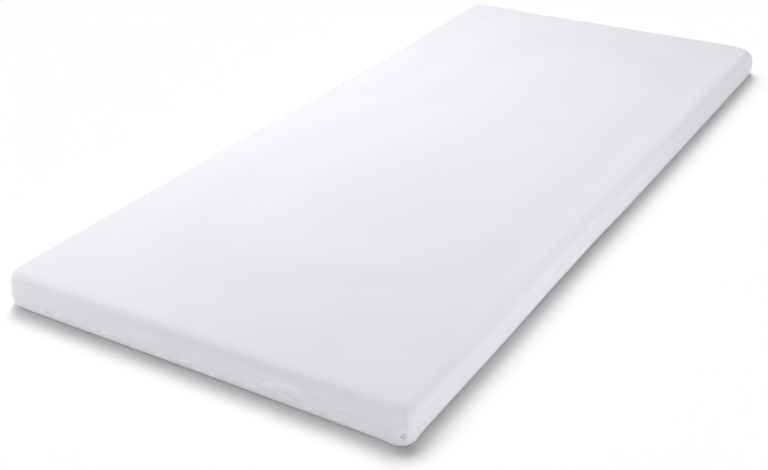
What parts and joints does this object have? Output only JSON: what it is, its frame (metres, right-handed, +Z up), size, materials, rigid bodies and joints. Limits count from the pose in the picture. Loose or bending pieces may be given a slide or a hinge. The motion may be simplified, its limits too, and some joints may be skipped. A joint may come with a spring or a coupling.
{
  "type": "foam mattress",
  "caption": "Thin foam mattress in a smooth, close-fitting pale cloth cover with soft rounded edges and a sewn bottom panel.",
  "frame": {"origin": "middle of the underside, on the surface that the mattress lies on", "axes": "+X across the width, +Y along the length, +Z up; the end at -Y is the one seen in the main view"},
  "size_m": [0.9, 2, 0.0776],
  "materials": {
    "cover_cloth": "fine smooth knit, matt",
    "panel_cloth": "plain woven cotton, matt"
  },
  "bodies": {
    "root": {"mattress_body": "cover_cloth", "bottom_panel": "panel_cloth"}
  },
  "joints": []
}
